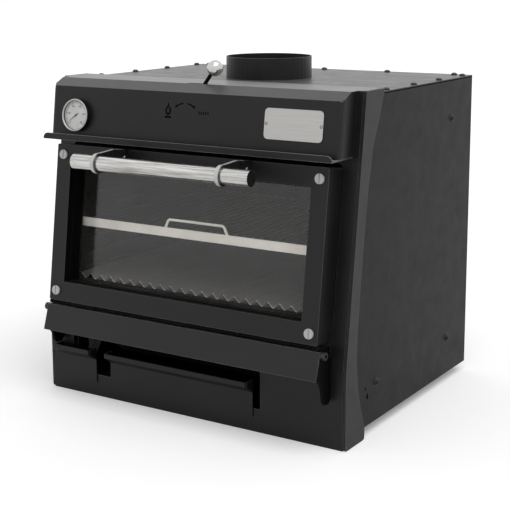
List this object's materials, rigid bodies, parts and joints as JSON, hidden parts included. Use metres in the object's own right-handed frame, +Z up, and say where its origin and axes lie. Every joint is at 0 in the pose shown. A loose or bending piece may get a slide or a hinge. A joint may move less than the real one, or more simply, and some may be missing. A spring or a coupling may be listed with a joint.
{
  "type": "charcoal oven",
  "caption": "Counter-top charcoal oven with a leaning front, a drop-down glazed door with a tube handle, a tilting ember flap, an ash drawer, an air slide, a fume hood and a damper.",
  "frame": {"origin": "centre of the footprint (bounding box) on the surface that the oven stands on", "axes": "+X to the oven's right as seen facing its front, +Y from front to back, +Z up"},
  "size_m": [0.725, 0.705, 0.7233],
  "materials": {
    "air_slide_carrier": "satin black heat-resistant paint",
    "air_slide_front": "satin black heat-resistant paint",
    "ash_drawer_front": "satin black heat-resistant paint",
    "ash_drawer_tray": "satin black heat-resistant paint",
    "ash_hopper": "bare steel, heat-stained",
    "badge_plate": "polished stainless steel",
    "chamber_back": "bare steel, heat-stained",
    "chamber_left": "bare steel, heat-stained",
    "chamber_right": "bare steel, heat-stained",
    "chamber_top": "bare steel, heat-stained",
    "channel_grill": "stainless wire and sheet",
    "charcoal_grate": "rough cast",
    "damper_knob": "polished stainless steel",
    "damper_lever": "polished stainless steel",
    "damper_plate": "bare steel, heat-stained",
    "damper_shaft": "bare steel, heat-stained",
    "door_back_frame": "satin black heat-resistant paint",
    "door_glass": "clear, polished",
    "door_hinge_rod": "polished stainless steel",
    "door_screw_left_high": "polished stainless steel",
    "door_screw_left_low": "polished stainless steel",
    "door_screw_right_high": "polished stainless steel",
    "door_screw_right_low": "polished stainless steel",
    "door_seal": "woven glass-fibre rope",
    "door_shell": "satin black heat-resistant paint",
    "door_window_bead": "polished stainless steel",
    "exhaust_throat": "bare steel, heat-stained",
    "firebox": "rough cast",
    "flap_pin_left": "polished stainless steel",
    "flap_pin_right": "polished stainless steel",
    "flap_plate": "satin black heat-resistant paint",
    "flap_wing_left": "satin black heat-resistant paint",
    "flap_wing_right": "satin black heat-resistant paint",
    "floor_panel": "satin black heat-resistant paint",
    "flue_collar": "satin black heat-resistant paint",
    "front_sheet": "satin black heat-resistant paint",
    "handle_bracket_left": "polished stainless steel",
    "handle_bracket_right": "polished stainless steel",
    "handle_cap_left": "matt black",
    "handle_cap_right": "matt black",
    "handle_tube": "polished stainless steel",
    "hood_lip": "satin black heat-resistant paint",
    "hood_shell": "satin black heat-resistant paint",
    "insulation_jacket": "ceramic fibre blanket",
    "mouth_frame": "bare steel, heat-stained",
    "rack_ledges_left": "bare steel, heat-stained",
    "rack_ledges_right": "bare steel, heat-stained",
    "rear_foot_left": "matt black",
    "rear_foot_right": "matt black",
    "rear_panel": "satin black heat-resistant paint",
    "roof_panel": "satin black heat-resistant paint",
    "side_frame_left": "satin black heat-resistant paint",
    "side_frame_right": "satin black heat-resistant paint",
    "side_panel_left": "satin black heat-resistant paint",
    "side_panel_right": "satin black heat-resistant paint",
    "thermometer_case": "polished stainless steel",
    "thermometer_dial": "matt white",
    "thermometer_lens": "clear, polished",
    "thermometer_needle": "matt black",
    "upper_rack": "stainless wire and sheet"
  },
  "bodies": {
    "oven": {"ash_hopper": "ash_hopper", "badge_plate": "badge_plate", "chamber_back": "chamber_back", "chamber_left": "chamber_left", "chamber_right": "chamber_right", "chamber_top": "chamber_top", "channel_grill": "channel_grill", "charcoal_grate": "charcoal_grate", "door_hinge_rod": "door_hinge_rod", "exhaust_throat": "exhaust_throat", "firebox": "firebox", "flap_pin_left": "flap_pin_left", "flap_pin_right": "flap_pin_right", "floor_panel": "floor_panel", "flue_collar": "flue_collar", "front_sheet": "front_sheet", "hood_lip": "hood_lip", "hood_shell": "hood_shell", "insulation_jacket": "insulation_jacket", "mouth_frame": "mouth_frame", "rack_ledges_left": "rack_ledges_left", "rack_ledges_right": "rack_ledges_right", "rear_foot_left": "rear_foot_left", "rear_foot_right": "rear_foot_right", "rear_panel": "rear_panel", "roof_panel": "roof_panel", "side_frame_left": "side_frame_left", "side_frame_right": "side_frame_right", "side_panel_left": "side_panel_left", "side_panel_right": "side_panel_right", "thermometer_case": "thermometer_case", "thermometer_dial": "thermometer_dial", "thermometer_lens": "thermometer_lens", "upper_rack": "upper_rack"},
    "air_slide": {"air_slide_carrier": "air_slide_carrier", "air_slide_front": "air_slide_front"},
    "ash_drawer": {"ash_drawer_front": "ash_drawer_front", "ash_drawer_tray": "ash_drawer_tray"},
    "damper": {"damper_knob": "damper_knob", "damper_lever": "damper_lever", "damper_plate": "damper_plate", "damper_shaft": "damper_shaft"},
    "door": {"door_back_frame": "door_back_frame", "door_glass": "door_glass", "door_screw_left_high": "door_screw_left_high", "door_screw_left_low": "door_screw_left_low", "door_screw_right_high": "door_screw_right_high", "door_screw_right_low": "door_screw_right_low", "door_seal": "door_seal", "door_shell": "door_shell", "door_window_bead": "door_window_bead", "handle_bracket_left": "handle_bracket_left", "handle_bracket_right": "handle_bracket_right", "handle_cap_left": "handle_cap_left", "handle_cap_right": "handle_cap_right", "handle_tube": "handle_tube"},
    "flap": {"flap_plate": "flap_plate", "flap_wing_left": "flap_wing_left", "flap_wing_right": "flap_wing_right"},
    "needle": {"thermometer_needle": "thermometer_needle"}
  },
  "joints": [
    {"name": "door_hinge", "type": "hinge", "parent": "oven", "child": "door", "pos_m": [0, -0.27403, 0.20798], "axis": [1, 0, 0], "range_deg": [0, 96]},
    {"name": "flap_hinge", "type": "hinge", "parent": "oven", "child": "flap", "pos_m": [0, -0.27094, 0.1936], "axis": [-1, 0, 0], "range_deg": [0, 60]},
    {"name": "ash_drawer_slide", "type": "slide", "parent": "oven", "child": "ash_drawer", "axis": [0, -1, 0], "range_m": [0, 0.28]},
    {"name": "air_slide", "type": "slide", "parent": "oven", "child": "air_slide", "axis": [1, 0, 0], "range_m": [0, 0.036]},
    {"name": "damper_turn", "type": "hinge", "parent": "oven", "child": "damper", "pos_m": [0, -0.18394, 0.655], "axis": [0, -1, 0], "range_deg": [0, 75]},
    {"name": "needle_turn", "type": "hinge", "parent": "oven", "child": "needle", "pos_m": [-0.2732, -0.22918, 0.6017], "axis": [0, 0.9912, -0.1323], "range_deg": [0, 270], "stiffness_Nm_per_rad": 0.0005}
  ]
}
